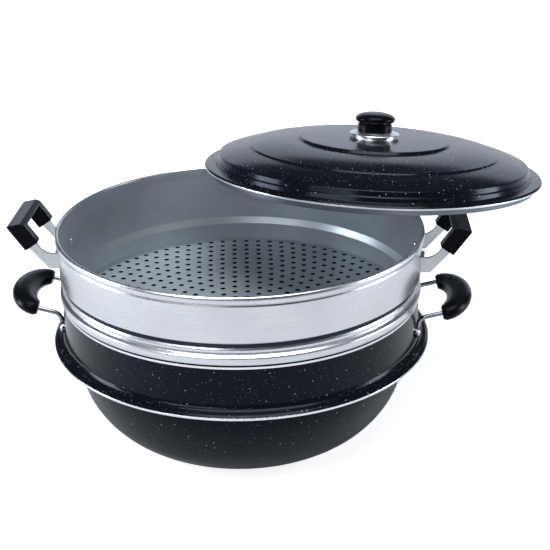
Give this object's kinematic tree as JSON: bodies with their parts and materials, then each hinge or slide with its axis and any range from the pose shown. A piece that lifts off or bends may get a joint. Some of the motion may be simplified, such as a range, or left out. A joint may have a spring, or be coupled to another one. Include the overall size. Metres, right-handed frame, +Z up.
{
  "type": "two-tier steamer pot",
  "caption": "Flanged cooking pot with a steamer tier and loose perforated plate standing in its rim, side handles, and a stepped lid with a knob, lifted off and moved aside.",
  "frame": {"origin": "centre of the pot's flat base, on the surface it stands on", "axes": "+Z up along the pot's axis; the four side handles lie along +X and -X; the lid is drawn aside towards +X +Y"},
  "size_m": [0.5563, 0.5124, 0.2985],
  "materials": {
    "speckled_coating": "gloss black speckled coating over cast aluminium, bare on its machined edges",
    "satin_aluminium": "satin, lightly polished outside",
    "plate_aluminium": "matte",
    "strap_aluminium": "satin",
    "black_phenolic": "moulded, glossy",
    "chrome": "polished",
    "rivet_aluminium": "set and lightly worn",
    "screw_steel": "zinc plated",
    "brass": "turned",
    "silicone": "matte"
  },
  "bodies": {
    "pot": {"pot_body": "speckled_coating", "pot_wire_right": "chrome", "pot_wire_left": "chrome", "pot_grip_right": "black_phenolic", "pot_grip_left": "black_phenolic", "pot_rivets_right": "rivet_aluminium", "pot_rivets_left": "rivet_aluminium"},
    "tier": {"steamer_tier": "satin_aluminium", "steamer_strap_right": "strap_aluminium", "steamer_strap_left": "strap_aluminium", "steamer_grip_right": "black_phenolic", "steamer_grip_left": "black_phenolic", "steamer_rivets_right": "rivet_aluminium", "steamer_rivets_left": "rivet_aluminium"},
    "plate": {"steam_plate": "plate_aluminium"},
    "lid": {"lid_shell": "speckled_coating", "lid_knob": "black_phenolic", "knob_ferrule": "chrome", "knob_insert": "brass", "knob_screw": "screw_steel", "knob_washer": "silicone"}
  },
  "joints": [
    {"name": "tier_lift", "type": "slide", "parent": "pot", "child": "tier", "axis": [0, 0, 1], "range_m": [0, 0.15]},
    {"name": "plate_lift", "type": "slide", "parent": "tier", "child": "plate", "axis": [0, 0, 1], "range_m": [0, 0.06]},
    {"name": "lid_lift", "type": "slide", "parent": "tier", "child": "lid", "axis": [0, 0, 1], "range_m": [0, 0.12]}
  ]
}
